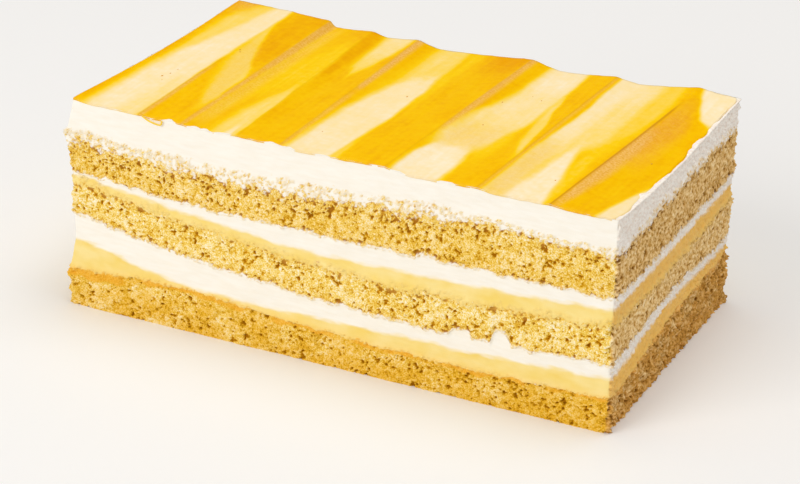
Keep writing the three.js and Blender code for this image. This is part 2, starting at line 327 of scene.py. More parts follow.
# Studio, in metres and watts
FLOOR_HALF = 5.0
Lamp = namedtuple("Lamp", "name place size power colour")
LAMPS = [
    Lamp("key", (-0.8, -1.7, 1.1), 1.2, 18, "#FFFBF4"),
    Lamp("overhead", (0.35, 0.2, 2.2), 1.6, 18, "#FFFDF9"),
]
ROOM_COLOUR = "#FFFBF6"
ROOM_STRENGTH = 0.54


def linear(hex_colour):
    """An sRGB hex colour as linear red, green, blue and alpha."""
    channels = [int(hex_colour[i : i + 2], 16) / 255 for i in (1, 3, 5)]
    return [c / 12.92 if c <= 0.04045 else ((c + 0.055) / 1.055) ** 2.4 for c in channels] + [1.0]


def shown(node):
    """The output that a node gives with its settings."""
    return next(output for output in node.outputs if output.enabled)


def add(tree, kind, settings=None, links=None, stops=()):
    """Adds a node with its settings, its inputs as values or other nodes, and its colour ramp's stops."""
    node = tree.nodes.new(kind)
    for name, value in (settings or {}).items():
        setattr(node, name, value)
    given = dict(enumerate(links)) if isinstance(links, list) else links or {}
    for key, value in given.items():
        if isinstance(value, bpy.types.Node):
            value = shown(value)
        if isinstance(value, bpy.types.NodeSocket):
            tree.links.new(value, node.inputs[key])
        else:
            node.inputs[key].default_value = value
    for number, (position, colour) in enumerate(stops):
        elements = node.color_ramp.elements
        element = elements[number] if number < 2 else elements.new(position)
        element.position = position
        element.color = linear(colour)
    return node


def smooth(low, high, value):
    """0 below low, 1 above high, and a smooth step between them."""
    share = np.clip((value - low) / (high - low), 0, 1)
    return share * share * (3 - 2 * share)


def between(low, high, soft_low, soft_high, value):
    """1 between low and high and 0 outside them, with a smooth step at each, as soft as given."""
    after = smooth(low - soft_low, low + soft_low, value)
    return after * (1 - smooth(high - soft_high, high + soft_high, value))


def wander(points, size, seed):
    """Smooth noise from -1 to 1 at points, with features of a size, or of one size for each axis."""
    scaled = np.asarray(points, float) / size
    shift = Vector((seed * 7.31, seed * 3.17, seed * 5.71))
    return np.array([noise.noise(Vector(point) + shift) for point in scaled])


def uneven(points, waves):
    """Waves added up at points."""
    return sum(wave.height * wander(points, wave.size, wave.seed) for wave in waves)


# Reading the solids


def solid_tree(*names):
    """A ray-casting tree over CAD nodes, in millimetres."""
    corners = []
    faces = []
    for name in names:
        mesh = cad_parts[name].data
        start = len(corners)
        corners += [vertex.co / MM for vertex in mesh.vertices]
        faces += [[start + corner for corner in face.vertices] for face in mesh.polygons]
    return BVHTree.FromPolygons(corners, faces)


def height_of(tree, places):
    """Height of the solid's top under each place of the plan."""
    above = 200
    down = Vector((0, 0, -1))
    return np.array([tree.ray_cast(Vector((x, y, above)), down)[0].z for x, y in places])


def plan_path():
    """Places round the cut faces, anticlockwise from the front left, and the way out at each."""
    half = np.array([LENGTH / 2 - CORNER, WIDTH / 2 - CORNER])
    centres = half * [[-1, -1], [1, -1], [1, 1], [-1, 1]]
    quarter = math.pi / 2
    places = []
    outs = []

    def put(centre, angle):
        out = np.array([math.sin(angle), -math.cos(angle)])
        places.append(centre + out * CORNER)
        outs.append(out)

    for turn in range(4):
        start = centres[turn]
        stop = centres[(turn + 1) % 4]
        straight = round(np.linalg.norm(stop - start) / STEP)
        for n in range(straight):
            put(start + (stop - start) * n / straight, turn * quarter)
        bend = round(CORNER * quarter / STEP)
        for n in range(bend):
            put(stop, (turn + n / bend) * quarter)
    return np.array(places), np.array(outs)


def smoothed(values, run):
    """Values round the path, averaged over a run."""
    count = 2 * round(run / STEP / 2) + 1
    wrapped = np.concatenate([values[-count:], values, values[:count]])
    return np.convolve(wrapped, np.ones(count) / count, "same")[count:-count]


def sheet_ends():
    """X of the glaze solid's left and right edges along its depth."""
    near = 0.1
    points = np.array([vertex.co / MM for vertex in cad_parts["glaze"].data.vertices])
    depths = np.unique(np.round(points[:, 1], 1))
    rows = [points[np.abs(points[:, 1] - y) < near] for y in depths]
    keep = [n for n, row in enumerate(rows) if np.ptp(row[:, 0]) > LENGTH / 2]
    left = [rows[n][:, 0].min() for n in keep]
    right = [rows[n][:, 0].max() for n in keep]
    return depths[keep], np.array(left), np.array(right)


PATH, OUT = plan_path()
COLUMNS = len(PATH)
ON_CORNER = (np.abs(OUT).min(1) > 0.05).astype(float)
CORNERS = np.minimum(1, 2 * smoothed(ON_CORNER, TORN_RUN))
cake_tree = solid_tree(*[layer.node for layer in LAYERS])
glaze_tree = solid_tree("glaze")
SHEET_Y, SHEET_LEFT, SHEET_RIGHT = sheet_ends()


def path_at(height):
    """The path's points at one height."""
    return np.column_stack([PATH, np.full(COLUMNS, float(height))])


def glaze_height(x, y):
    """Height of the glaze solid's top at places of the plan, or at its nearest edge beyond them."""
    margin = 0.3
    inside_y = np.clip(y, SHEET_Y[0] + margin, SHEET_Y[-1] - margin)
    left = np.interp(inside_y, SHEET_Y, SHEET_LEFT) + margin
    right = np.interp(inside_y, SHEET_Y, SHEET_RIGHT) - margin
    inside_x = np.clip(x, left, right)
    return height_of(glaze_tree, np.column_stack([inside_x.ravel(), inside_y.ravel()])).reshape(x.shape)


# The front, right, back and left sides: the way out, how long it is, and how far off the opposite one is
SIDES = [((0, -1), LENGTH, WIDTH), ((1, 0), WIDTH, LENGTH), ((0, 1), LENGTH, WIDTH), ((-1, 0), WIDTH, LENGTH)]
EASE_RUN = 24  # a side that stands out or in pulls the next sides' ends along over this run


def side_reach(out, along, across, height_at):
    """How far one cut side of the solids stands outside the plan, at places along it."""
    clear = 0.45
    start_out = 20
    margin = 2
    count = 90
    most = 5
    bends = 3
    places = np.linspace(margin - along / 2, along / 2 - margin, count)
    way = np.array(out)
    reach = np.zeros(count)
    for n, place in enumerate(places):
        edge = way * across / 2 + np.abs(way[::-1]) * place
        for lift in (-clear, clear):
            start = Vector((*(edge + way * start_out), max(height_at(edge) + lift, clear)))
            hit = cake_tree.ray_cast(start, Vector((*-way, 0)))[0]
            reach[n] += (start_out - (hit - start).length) / 2 if hit else 0
    trend = np.polynomial.polynomial.Polynomial.fit(places, np.clip(reach, -most, most), bends)
    return lambda place: trend(np.clip(place, places[0], places[-1]))


def ring_places(heights):
    """The path moved in and out to follow the solids' cut sides at a height for each of its places."""

    def height_at(edge):
        return heights[np.argmin(np.abs(PATH - edge).sum(1))]

    moved = PATH.copy()
    for out, along, across in SIDES:
        axis = 0 if out[0] else 1
        reach = side_reach(out, along, across, height_at)(PATH[:, 1 - axis])
        from_side = across / 2 - PATH[:, axis] * out[axis]
        moved[:, axis] += out[axis] * reach * np.maximum(0, 1 - from_side / EASE_RUN)
    return moved


def ring(heights, solid_heights):
    """Points round the cake at heights, as far out as the solids are at heights of their own."""
    return np.column_stack([ring_places(solid_heights), heights])


def glaze_stop(side, along):
    """How far the glaze stops short of one side's edge, at places along it."""
    points = np.column_stack([along, np.full(len(along), SIDE_APART * side), np.zeros(len(along))])
    stop = EDGE_STOPS[side] + uneven(points, EDGE_WAVES)
    if side == RIGHT:
        stop += uneven(points, RIGHT_WAVES)
    if side == FRONT:
        for lump in CREAM_LUMPS:
            stop += lump.reach * np.exp(-(((along - lump.x) / lump.width) ** 2))
    return np.maximum(stop, LEAST_STOP)


def path_stops():
    """How far the glaze stops short of the edge, round the path."""
    facing_share = 0.7
    ease = 1.0
    stops = np.zeros(COLUMNS)
    for side, (out, _, _) in enumerate(SIDES):
        facing = OUT @ np.array(out) > facing_share
        stops[facing] = glaze_stop(side, PATH[facing, 0 if out[1] else 1])
    return smoothed(stops, ease)


def lip_height(stops, inset):
    """Height of the topping's lip over the glaze's own height, some way in from the edge."""
    bare = 1 - smooth(stops + LIP_EASE[0], stops + LIP_EASE[1], inset)
    rounding = LIP_ROUND * (1 - min(inset / LIP_ROUND_RUN, 1)) ** 2
    return (LIP_RISE + LIP_SWELL * stops) * bare - LIP_UNDER - rounding


def read_seams():
    """The lines round the cake where two layers meet, from the bottom edge to the top one."""
    clear = 2.0
    ease = 5
    top_ease = 1.2
    at_front = OUT[:, 1] < -0.5
    inside = PATH - OUT * clear
    flat = np.zeros(COLUMNS)
    seams = [ring(flat, flat)]
    for n, layer in enumerate(LAYERS[:-1]):
        height = smoothed(height_of(solid_tree(layer.node), inside), ease)
        kinds = (layer.kind, LAYERS[n + 1].kind)
        points = path_at(n * SEAM_APART)
        wave = Wave(SEAM_WAVES if "sponge" in kinds else CLOUD_WAVES, WAVE_SIZE, n)
        ripple = Wave(RIPPLES * wave.height, RIPPLE_SIZE, n + RIPPLE_SEED)
        rise = uneven(points, [wave, ripple])
        if kinds == ("cream", "sponge"):
            rise += TEETH * np.tanh(TOOTH_STEEPNESS * wander(points, TOOTH_SIZE, n + TOOTH_SEED))
        for push in PUSHES:
            if push.seam == n + 1:
                away = (PATH[:, 0] - push.x) / push.width
                rise += push.rise * np.exp(-(away**PUSH_SQUARENESS)) * at_front
        seams.append(ring(height + rise, height))
    edge = smoothed(glaze_height(*(PATH - OUT).T), top_ease)
    seams.append(ring(edge + lip_height(path_stops(), 0.0), edge - LIP_CUT))
    return seams


# Meshes


def placed(name, data):
    """A new object in the scene, at its origin."""
    item = bpy.data.objects.new(name, data)
    bpy.context.scene.collection.objects.link(item)
    return item


def new_piece(name, points, faces, flat, attributes):
    """A mesh object from points in millimetres: smooth faces first, then flat ones with sharp edges."""
    mesh = bpy.data.meshes.new(name)
    mesh.from_pydata((np.asarray(points) * MM).tolist(), [], faces)
    shading = np.ones(len(faces), bool)
    shading[flat:] = False
    mesh.polygons.foreach_set("use_smooth", shading)
    on_flat = np.zeros(len(points), bool)
    on_flat[[corner for face in faces[flat:] for corner in face]] = True
    edge_ends = np.zeros(2 * len(mesh.edges), int)
    mesh.edges.foreach_get("vertices", edge_ends)
    mesh.edges.foreach_set("use_edge_sharp", on_flat[edge_ends.reshape(-1, 2)].all(1))
    for label, values in attributes.items():
        kind = "FLOAT_VECTOR" if np.ndim(values) == 2 else "FLOAT"
        field = "vector" if np.ndim(values) == 2 else "value"
        attribute = mesh.attributes.new(label, kind, "POINT")
        attribute.data.foreach_set(field, np.asarray(values, np.float32).ravel())
    return placed(name, mesh)


def settled(piece):
    """The piece with its modifiers kept in a plain mesh."""
    graph = bpy.context.evaluated_depsgraph_get()
    mesh = bpy.data.meshes.new_from_object(piece.evaluated_get(graph), depsgraph=graph)
    piece.modifiers.clear()
    if piece.type == "MESH":
        piece.data = mesh
        return piece
    name = piece.name
    bpy.data.objects.remove(piece)
    return placed(name, mesh)


def made_plain(piece, tree, sizes, material):
    """Runs a geometry node tree on a piece and keeps the result as its plain mesh."""
    modifier = piece.modifiers.new(tree.name, "NODES")
    modifier.node_group = tree
    values = {**sizes, "Material": material}
    for item in tree.interface.items_tree:
        if item.in_out == "INPUT" and item.name in values:
            modifier[item.identifier] = values[item.name]
    return settled(piece)


def joined_fillings(pieces):
    """The fillings' faces as one mesh, with how thickly crumbs lie on them."""
    points = []
    faces = []
    scatter = []
    for piece in pieces:
        start = len(points)
        points += [vertex.co / MM for vertex in piece.data.vertices]
        faces += [[start + corner for corner in face.vertices] for face in piece.data.polygons]
        scatter += [value.value for value in piece.data.attributes["scatter"].data]
    return new_piece("loose_crumbs", points, faces, len(faces), {"scatter": scatter})


def finish_piece(piece, slot, *nodes):
    """Hands a finished piece to the frame, with the nodes that it replaces."""
    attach(piece, "root")
    if nodes:
        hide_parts(*nodes)


def new_tree(name, sizes):
    """An empty geometry node tree with named size inputs, and its input and output nodes."""
    tree = bpy.data.node_groups.new(name, "GeometryNodeTree")
    tree.interface.new_socket("Geometry", in_out="INPUT", socket_type="NodeSocketGeometry")
    for size in sizes:
        tree.interface.new_socket(size, in_out="INPUT", socket_type="NodeSocketFloat")
    tree.interface.new_socket("Material", in_out="INPUT", socket_type="NodeSocketMaterial")
    tree.interface.new_socket("Geometry", in_out="OUTPUT", socket_type="NodeSocketGeometry")
    return tree, add(tree, "NodeGroupInput"), add(tree, "NodeGroupOutput")


RELIEF_SIZES = {
    "Bend": 1.2 * MM,
    "Bend Size": 1.8 * MM,
    "Lump Size": 1.05 * MM,
    "Lump Height": 0.38 * MM,
    "Pore Size": 1.7 * MM,
    "Pore Depth": 0.62 * MM,
    "Fine Pore Size": 0.85 * MM,
    "Fine Pore Depth": 0.4 * MM,
    "Grain Size": 0.5 * MM,
    "Grain Height": 0.12 * MM,
    "Swell Size": 9.0 * MM,
    "Swell Height": 0.35 * MM,
    "Drag Height": 0.12 * MM,
    "Curd Size": 1.3 * MM,
    "Patch Size": 3.4 * MM,
    "Patchiness": 1.1,
    "Chip Size": 1.1 * MM,
    "Chippiness": 0.5,
    "Cluster Size": 5.0 * MM,
    "Fill Rise": 0.6 * MM,
    "Film Depth": 0.25 * MM,
    "Smear Height": 0.14 * MM,
    "Loosening": 2.4,
    # how much more painted shade the pores get near filling
    "Crevice Shade": 0.5,
    "Break Size": 2.8 * MM,
    "Break Height": 1.6 * MM,
}
LUMP_EDGE = 0.42  # a lump of crumb is level with the face this far from its middle, in lump sizes
FLATTENED = (1.0, 1.0, 7.0)  # the knife's marks are this much longer than high
FILLING_BLEND = 0.15 * MM
CRUMB_BLEND = 0.1 * MM

# Ranges of cover, which runs from sponge below 0 to filling above it, and what each gives between its ends
NEAR_FILLING = (-2.2, 0.8)
PORES_OPENED = (-2.2, -0.9, 1.0, 2.0)
PORES_CLEAR = (-0.2, 0.4, 1.0, 0.35)
SMEAR_CLOSE = (-2.0, 0.5)
CRUMB_DRY = (-0.5, -0.2, 1.0, 0.0)
CRUMBS_DROWNED = (0.5, 1.9, 0.0, 1.6 * MM)

# Other ranges: noise that is a pore, pores in clusters, pores closing where it is baked, the heights that are
# crests and pits, smear that shows, and crumb that still shows through it
HOLLOWED = (0.18, 0.5)
CLUSTERED = (-0.4, 0.4, 0.4, 1.6)
BAKED_SHUT = (MOST_TOAST, 1.0, 1.0, 0.25)
CREST_TO_PIT = (0.2 * MM, -0.85 * MM)
SMEAR_SHOWN = (0.39, 0.55)
THROUGH_SMEAR = (0.0, 1.0, 1.0, 0.1)

# Smear: how far it reaches past its coating, how pits keep clear of it, how ragged it is, and its thin film
SMEAR_REACH = 0.6
SMEAR_IN_PITS = -0.8
SMEAR_RAGGED = 0.8
FILM_MOST = 0.4


def crumb_relief_tree():
    """Moves a cut face in and out: crumb with its pores, and filling that is smeared over it near a seam."""
    tree, given, result = new_tree("crumb_relief", RELIEF_SIZES)
    size = given.outputs
    place = add(tree, "GeometryNodeInputPosition")
    names = ("cover", "softness", "coating", "level", "rough", "baked", "torn")
    stored = {name: add(tree, STORED, NUMBERS, {"Name": name}) for name in names}

    def waves(feature, detail, vector=place):
        """Noise from about -1 to 1, with features of a named size."""
        scale = add(tree, MATH, OVER, [1.0, size[feature]])
        found = add(tree, NOISE, {}, {"Vector": vector, "Scale": scale, "Detail": detail})
        return add(tree, MATH, TIMES_PLUS, [found, 2.0, -1.0])

    def hollows(feature, depth, vector):
        """Uneven pits of a named size, down to a named depth."""
        share = add(tree, RANGE, EASED, [waves(feature, 1.0, vector), *HOLLOWED])
        return add(tree, MATH, TIMES, [share, size[depth]])

    # How far filling covers the crumb, in patches and chips
    patched = add(tree, MATH, TIMES_PLUS, [waves("Patch Size", 2.0), size["Patchiness"], stored["cover"]])
    cover = add(tree, MATH, TIMES_PLUS, [waves("Chip Size", 1.0), size["Chippiness"], patched])
    near = add(tree, RANGE, EASED, [cover, *NEAR_FILLING])

    # The crumb: rounded lumps and grain, less its pores, all bent out of a regular shape
    bend_scale = add(tree, MATH, OVER, [1.0, size["Bend Size"]])
    bending = add(tree, NOISE, {}, {"Vector": place, "Scale": bend_scale, "Detail": 2.0})
    centred = add(tree, VECTORS, MINUS, [bending.outputs["Color"], (0.5, 0.5, 0.5)])
    bent = add(tree, VECTORS, TIMES_PLUS, [centred, size["Bend"], place])
    lump_scale = add(tree, MATH, OVER, [1.0, size["Lump Size"]])
    cells = add(tree, CELLS, {}, {"Vector": bent, "Scale": lump_scale})
    rounded = add(tree, MATH, MINUS, [LUMP_EDGE, cells])
    lumps = add(tree, MATH, TIMES, [rounded, size["Lump Height"]])
    grainy = add(tree, MATH, TIMES_PLUS, [waves("Grain Size", 2.0), size["Grain Height"], lumps])
    fine = hollows("Fine Pore Size", "Fine Pore Depth", place)
    pores = add(tree, MATH, PLUS, [hollows("Pore Size", "Pore Depth", bent), fine])
    clusters = add(tree, RANGE, {}, [waves("Cluster Size", 2.0), *CLUSTERED])
    opened = add(tree, RANGE, {}, [cover, *PORES_OPENED])
    clear = add(tree, RANGE, {}, [cover, *PORES_CLEAR])
    open_share = add(tree, RANGE, {}, [stored["baked"], *BAKED_SHUT])
    for share in (clusters, opened, clear, open_share):
        pores = add(tree, MATH, TIMES, [pores, share])
    even = add(tree, MATH, MINUS, [grainy, pores])

    # Near filling it is looser, and where it was torn it is broken
    loosening = add(tree, MATH, TIMES, [near, size["Loosening"]])
    loosened = add(tree, MATH, TIMES_PLUS, [lumps, loosening, even])
    breaks = add(tree, MATH, TIMES_PLUS, [waves("Break Size", 2.0), size["Break Height"], even])
    crumb = add(tree, MATH, TIMES_PLUS, [breaks, stored["torn"], loosened])

    # The filling: dragged sideways by the knife, so its marks are long and flat, and curdled at the end
    flattened = add(tree, VECTORS, TIMES, [place, FLATTENED])
    marks = waves("Swell Size", 3.0, flattened)
    dragged = add(tree, MATH, TIMES_PLUS, [marks, size["Drag Height"], stored["level"]])
    flat = add(tree, MATH, TIMES_PLUS, [waves("Curd Size", 3.0), stored["rough"], dragged])

    # Near a seam the knife smeared it on the crumb's high places
    pit = add(tree, RANGE, {}, [even, *CREST_TO_PIT])
    # Painted shade for the material: how deep each pit is, more near filling and less where baked shut
    deepening = add(tree, MATH, TIMES_PLUS, [near, size["Crevice Shade"], 1.0])
    deepened = add(tree, MATH, TIMES, [pit, deepening])
    crevice_shade = add(tree, MATH, TIMES, [deepened, open_share])
    close = add(tree, RANGE, {}, [cover, *SMEAR_CLOSE])
    spread = add(tree, MATH, PLUS, [stored["coating"], SMEAR_REACH])
    reach = add(tree, MATH, TIMES, [close, spread])
    held = add(tree, MATH, TIMES_PLUS, [pit, SMEAR_IN_PITS, reach])
    ragged = add(tree, MATH, TIMES_PLUS, [waves("Chip Size", 2.0), SMEAR_RAGGED, held])
    smear = add(tree, RANGE, EASED, [ragged, *SMEAR_SHOWN])
    smeared = add(tree, MATH, TIMES_PLUS, [smear, size["Smear Height"], crumb])

    # In the filling only lone crumbs stick out
    fill = add(tree, MATH, TIMES, [cover, size["Fill Rise"]])
    filling = add(tree, MATH, {"operation": "SMOOTH_MIN"}, [fill, flat, FILLING_BLEND])
    drowned = add(tree, RANGE, EASED, [cover, *CRUMBS_DROWNED])
    standing = add(tree, MATH, MINUS, [smeared, drowned])
    surface = add(tree, MATH, {"operation": "SMOOTH_MAX"}, [standing, filling, CRUMB_BLEND])

    # What the material needs to know: bare crumb, a coat on it, painted shade in its crevices, and filling as
    # thin as a film
    above = add(tree, MATH, MINUS, [standing, filling])
    edge_low = add(tree, MATH, TIMES, [stored["softness"], -1.0])
    standing_bare = add(tree, RANGE, EASED, [above, edge_low, stored["softness"]])
    dry = add(tree, RANGE, EASED, [cover, *CRUMB_DRY])
    uncovered = add(tree, MATH, {"operation": "MAXIMUM"}, [standing_bare, dry])
    unsmeared = add(tree, RANGE, {}, [smear, *THROUGH_SMEAR])
    bare = add(tree, MATH, TIMES, [uncovered, unsmeared])
    coat = add(tree, MATH, TIMES, [near, stored["coating"]])
    film_low = add(tree, MATH, TIMES, [size["Film Depth"], -1.0])
    film = add(tree, RANGE, EASED, [above, film_low, 0.0, 0.0, FILM_MOST])
    geometry = size["Geometry"]
    for name, value in (("bare", bare), ("coat", coat), ("pit", crevice_shade), ("film", film)):
        links = {"Geometry": geometry, "Name": name, "Value": value}
        geometry = add(tree, "GeometryNodeStoreNamedAttribute", {}, links)

    swollen = add(tree, MATH, TIMES_PLUS, [waves("Swell Size", 1.0), size["Swell Height"], surface])
    outward = add(tree, STORED, DIRECTIONS, {"Name": "outward"})
    offset = add(tree, VECTORS, SCALED, {"Vector": outward, "Scale": swollen})
    moved = add(tree, "GeometryNodeSetPosition", {}, {"Geometry": geometry, "Offset": offset})
    real = add(tree, "GeometryNodeRealizeInstances", {}, [moved])
    dressed = add(tree, "GeometryNodeSetMaterial", {}, {"Geometry": real, "Material": size["Material"]})
    tree.links.new(dressed.outputs[0], result.inputs[0])
    return tree


CRUMB_SIZES = {
    "Crumb Size": 0.42 * MM,
    "Knobble Size": 0.5 * MM,
    "Knobble Height": 0.3 * MM,
    "Crumbs per Area": 14000.0,
}
LEAST_CRUMB = (0.5, 0.5, 0.5)  # shares of the crumb size along each axis
MOST_CRUMB = (1.6, 1.4, 1.2)


def loose_crumb_tree():
    """Scatters crumbs over faces, as thickly as their scatter attribute says."""
    tree, given, result = new_tree("loose_crumbs", CRUMB_SIZES)
    size = given.outputs
    scatter = add(tree, STORED, NUMBERS, {"Name": "scatter"})
    density = add(tree, MATH, TIMES, [scatter, size["Crumbs per Area"]])
    links = {"Mesh": size["Geometry"], "Density": density, "Seed": SEED}
    spots = add(tree, "GeometryNodeDistributePointsOnFaces", {}, links)
    links = {"Segments": 8, "Rings": 5, "Radius": size["Crumb Size"]}
    ball = add(tree, "GeometryNodeMeshUVSphere", {}, links)
    full_turn = (math.tau, math.tau, math.tau)
    turn = add(tree, "FunctionNodeRandomValue", DIRECTIONS, {"Max": full_turn, "Seed": 1})
    links = {"Min": LEAST_CRUMB, "Max": MOST_CRUMB, "Seed": 2}
    grow = add(tree, "FunctionNodeRandomValue", DIRECTIONS, links)
    links = {"Points": spots, "Instance": ball, "Rotation": turn, "Scale": grow}
    scattered = add(tree, "GeometryNodeInstanceOnPoints", {}, links)
    real = add(tree, "GeometryNodeRealizeInstances", {}, [scattered])
    place = add(tree, "GeometryNodeInputPosition")
    scale = add(tree, MATH, OVER, [1.0, size["Knobble Size"]])
    knobbles = add(tree, NOISE, {}, {"Vector": place, "Scale": scale})
    centred = add(tree, VECTORS, MINUS, [knobbles.outputs["Color"], (0.5, 0.5, 0.5)])
    offset = add(tree, VECTORS, SCALED, {"Vector": centred, "Scale": size["Knobble Height"]})
    moved = add(tree, "GeometryNodeSetPosition", {}, {"Geometry": real, "Offset": offset})
    rounded = add(tree, "GeometryNodeSetShadeSmooth", {}, [moved])
    dressed = add(tree, "GeometryNodeSetMaterial", {}, {"Geometry": rounded, "Material": size["Material"]})
    tree.links.new(dressed.outputs[0], result.inputs[0])
    return tree


# Cut faces


SEAM_KINDS = [None] + [(below.kind, above.kind) for below, above in zip(LAYERS, LAYERS[1:])]
SPONGE_SEAMS = [n for n, kinds in enumerate(SEAM_KINDS) if kinds and "sponge" in kinds]


def seam_mix(seam):
    """How crumb and filling mix at a seam, counted from the bottom edge of the cake."""
    if seam == SPONGE_SEAMS[-1]:
        return TOPPING_MIX
    if seam == SPONGE_SEAMS[0]:
        return CRUST_MIX
    return CUSTARD_MIX if "custard" in SEAM_KINDS[seam] else CREAM_MIX


def mixing(number, height, seams):
    """What mixes into a cut side from its nearest seams between sponge and filling."""
    kind = LAYERS[number].kind
    is_sponge = kind == "sponge"
    cover = np.full(height.shape, ALL_SPONGE if is_sponge else ALL_FILLING)
    softness = np.full(height.shape, CREAM_MIX.softness)
    coating = np.full(height.shape, CREAM_MIX.coating)
    custard = np.full(height.shape, float(kind == "custard"))
    rise = np.full(height.shape, float(is_sponge))
    scatter = np.zeros(height.shape)
    below = [seam for seam in SPONGE_SEAMS if seam <= number][-1:]
    above = [seam for seam in SPONGE_SEAMS if seam > number][:1]
    for seam in below + above:
        distance = np.abs(height - seams[seam][:, 2])
        mix = seam_mix(seam)
        run = 1 + uneven(path_at(MIX_APART * seam), [MIX_WAVE])
        if mix is TOPPING_MIX:
            run *= np.interp(PATH[:, 0], *TOPPING_TAPER)
        if is_sponge:
            share_in = mix.shift - distance / (mix.in_sponge * run)
            nearer = share_in > cover
            custard = np.where(nearer, float("custard" in SEAM_KINDS[seam]), custard)
        else:
            share_in = mix.shift + distance / (mix.in_filling * run)
            nearer = share_in < cover
            rise = np.maximum(rise, np.exp(-distance / RECESS_RUN))
            scatter = np.maximum(scatter, np.exp(-distance / (SCATTER_SHARE * mix.in_filling)))
        cover = np.where(nearer, share_in, cover)
        softness = np.where(nearer, mix.softness, softness)
        coating = np.where(nearer, mix.coating, coating)
    return cover, softness, coating, custard, rise, scatter


def browning(number, share, points, seams):
    """How baked a cut side is, up to MOST_TOAST for crumb and from there to 1 for skin."""
    height = points[:, :, 2]
    baked = np.zeros(height.shape)
    if LAYERS[number].kind == "sponge":
        baked += TOAST[LAYERS[number].node] + TOAST_SPREAD * (0.5 - share)
    baked = np.clip(baked, 0, 1)
    if number == 0:
        patches = uneven(points.reshape(-1, 3), [TOAST_PATCHES]).reshape(height.shape)
        baked = np.clip(baked + patches + TOAST_RIGHT * PATH[:, 0] / LENGTH, 0, MOST_TOAST)
    if number in (0, 1):
        places = path_at(0)
        thick = SKIN_THICK * (SKIN_SHARE + uneven(places, SKIN_WAVES))
        thick *= np.interp(PATH[:, 0], *SKIN_TAPER)
        strength = np.clip(SKIN_BROWN + uneven(places, [SKIN_PATCHES]), 0, 1)
        beyond = np.abs(seams[1][:, 2] - height) - np.maximum(thick, SKIN_FADE)
        baked = np.maximum(baked, strength * (1 - smooth(-SKIN_FADE, SKIN_FADE, beyond)))
    return baked


def cut_face(number, seams):
    """Points of a layer's cut side between its two seams, and what is stored at them."""
    low = seams[number]
    high = seams[number + 1]
    share = np.linspace(0, 1, LAYERS[number].rows + 1)[:, None]
    points = low + (high - low) * share[:, :, None]
    height = points[:, :, 2]
    cover, softness, coating, custard, rise, scatter = mixing(number, height, seams)
    for seam in (number, number + 1):
        if seam < len(LAYERS) and SEAM_KINDS[seam] == ("custard", "cream"):
            swirl_points = np.dstack([np.broadcast_to(PATH, (*height.shape, 2)), height]).reshape(-1, 3)
            swirl = uneven(swirl_points, SWIRL_WAVES).reshape(height.shape)
            custard = smooth(-CLOUD, CLOUD, seams[seam][:, 2] - height + swirl)
    end = smooth(*END_FACING, OUT[:, 0]) + np.zeros(height.shape)
    by_crust = np.exp(-np.abs(height - seams[1][:, 2]) / CRUST_STAIN) if number == 1 else 0.0
    torn_end = TORN_END * (TORN_BOTTOM if number == 0 else 1)
    fields = {
        "cover": cover,
        "softness": softness * MM,
        "coating": coating,
        "level": RECESS * (rise - 1) * MM,
        "rough": (FILLING_ROUGH + (END_ROUGH - FILLING_ROUGH) * end) * MM,
        "custard": custard,
        "baked": browning(number, share, points, seams),
        "end": end,
        # custard deepened as painted warm light at the end, and by the skin's stain beside it
        "end_light_and_stain": np.maximum(end, CRUST_RICHNESS * by_crust),
        "torn": torn_end * end + TORN_CORNER * CORNERS,
        "scatter": scatter,
    }
    return points, fields


def closing_fan(ring, centre, up):
    """Triangles from a ring of points to a centre, facing up or down."""
    order = (0, 1) if up else (1, 0)
    ends = [np.roll(ring, -step) for step in order]
    return [[centre, a, b] for a, b in zip(ends[0].tolist(), ends[1].tolist())]


def wall_faces(rows):
    """Quads between stacked rings of points, facing out."""
    ring = np.arange(COLUMNS)
    following = np.roll(ring, -1)
    faces = []
    for row in range(rows):
        start = row * COLUMNS
        quads = np.column_stack([ring, following, following + COLUMNS, ring + COLUMNS]) + start
        faces += quads.tolist()
    return faces


def lip_rings(edge):
    """Rings of points from the topping's edge in over its lip, and down under the glaze."""
    stops = path_stops()
    rings = []
    for inset, sink in LIP_RINGS:
        inner = edge - np.column_stack([OUT * inset, np.zeros(COLUMNS)])
        if inset > CORNER:
            inner[:, :2] = edge[:, :2] * (1 - inset / (WIDTH / 2))
        inner[:, 2] = glaze_height(inner[:, 0], inner[:, 1]) + lip_height(stops, inset) - sink
        rings.append(inner)
    return rings


def layer_piece(number, seams):
    """One layer: its cut side, closed above and below where the next layers hide it."""
    points, attributes = cut_face(number, seams)
    outward = np.tile(np.column_stack([OUT, np.zeros(COLUMNS)]), (len(points), 1, 1))
    lip = lip_rings(points[-1]) if number == len(LAYERS) - 1 else []
    rings = [*points, *lip]
    centre_low = len(rings) * COLUMNS
    all_points = np.concatenate([*rings, [rings[0].mean(0)], [rings[-1].mean(0)]])
    faces = wall_faces(len(rings) - 1)
    smooth_faces = len(faces)
    faces += closing_fan(np.arange(COLUMNS), centre_low, False)
    faces += closing_fan(np.arange(COLUMNS) + (len(rings) - 1) * COLUMNS, centre_low + 1, True)
    unmoved = np.zeros((len(lip) * COLUMNS + 2, 3))
    padded = {"outward": np.concatenate([outward.reshape(-1, 3), unmoved])}
    for label, values in attributes.items():
        padded[label] = np.concatenate([values.ravel(), np.tile(values[-1], len(lip)), np.zeros(2)])
    return new_piece(LAYERS[number].piece, all_points, faces, smooth_faces, padded)


# Glaze


def glaze_columns():
    """Columns of the glaze sheet, following the crests: X at the front and the back edge."""
    front = []
    back = []
    for here, following in zip(CRESTS, CRESTS[1:]):
        count = round((following.front - here.front) / GLAZE_COLUMN)
        share = np.arange(count) / count
        front += (here.front + (following.front - here.front) * share).tolist()
        back += (here.back + (following.back - here.back) * share).tolist()
    return np.array(front + [CRESTS[-1].front]), np.array(back + [CRESTS[-1].back])


